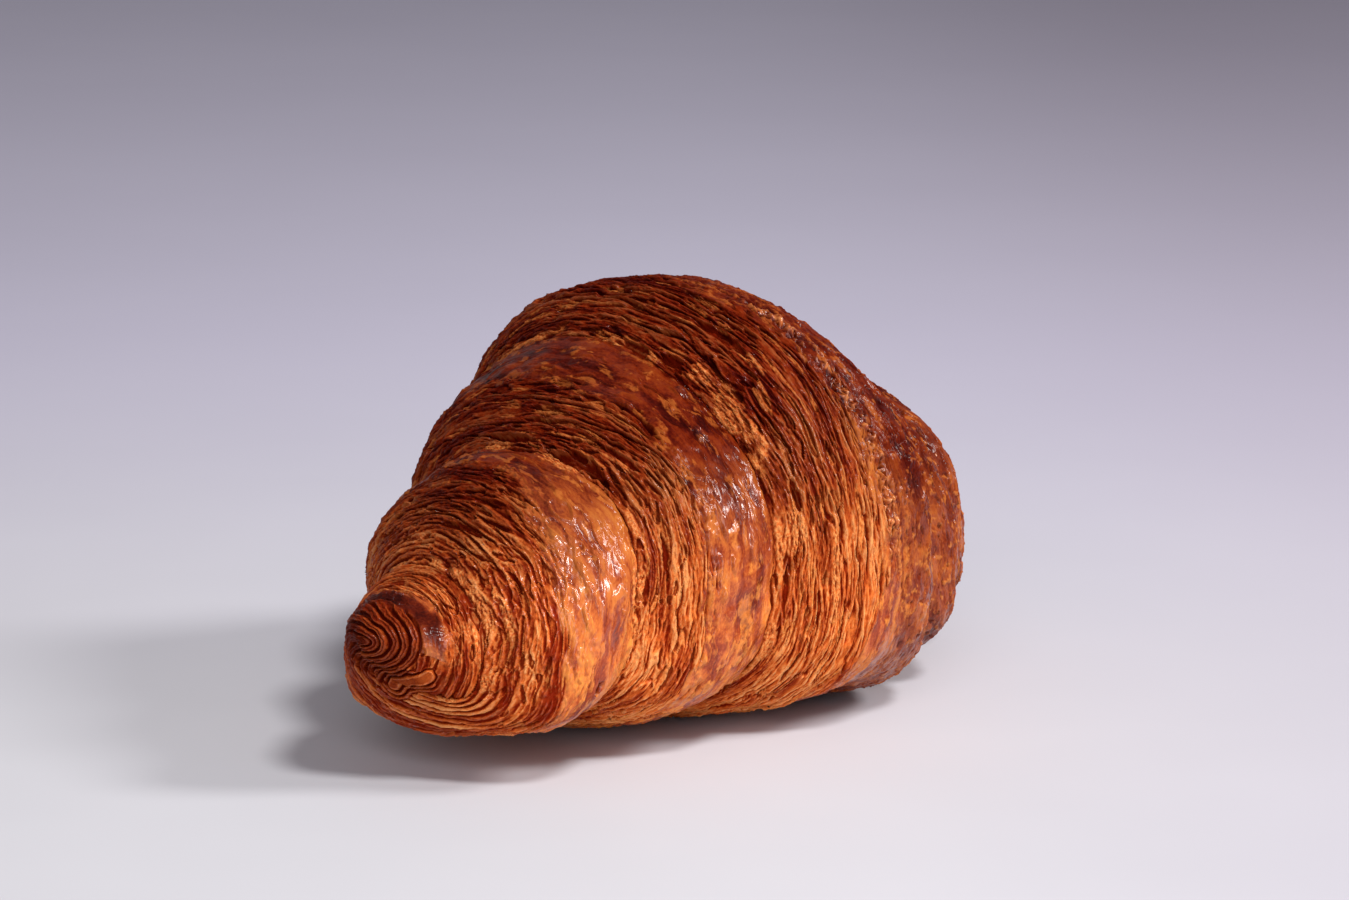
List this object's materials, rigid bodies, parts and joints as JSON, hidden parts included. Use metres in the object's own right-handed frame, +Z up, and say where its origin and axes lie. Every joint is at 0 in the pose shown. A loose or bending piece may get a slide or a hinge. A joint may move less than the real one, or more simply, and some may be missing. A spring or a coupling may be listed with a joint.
{
  "type": "butter croissant",
  "caption": "Baked croissant rolled from laminated dough, with stepped turns, leafy cut edges, glossy crust and blunt tips.",
  "frame": {"origin": "middle of the underside of the bounding box, on the table", "axes": "+X along the roll towards its right tip, +Z up, -Y towards the viewer's side of the roll"},
  "size_m": [0.146, 0.0872, 0.0684],
  "materials": {
    "crust": null
  },
  "bodies": {
    "root": {"croissant": "crust"}
  },
  "joints": []
}
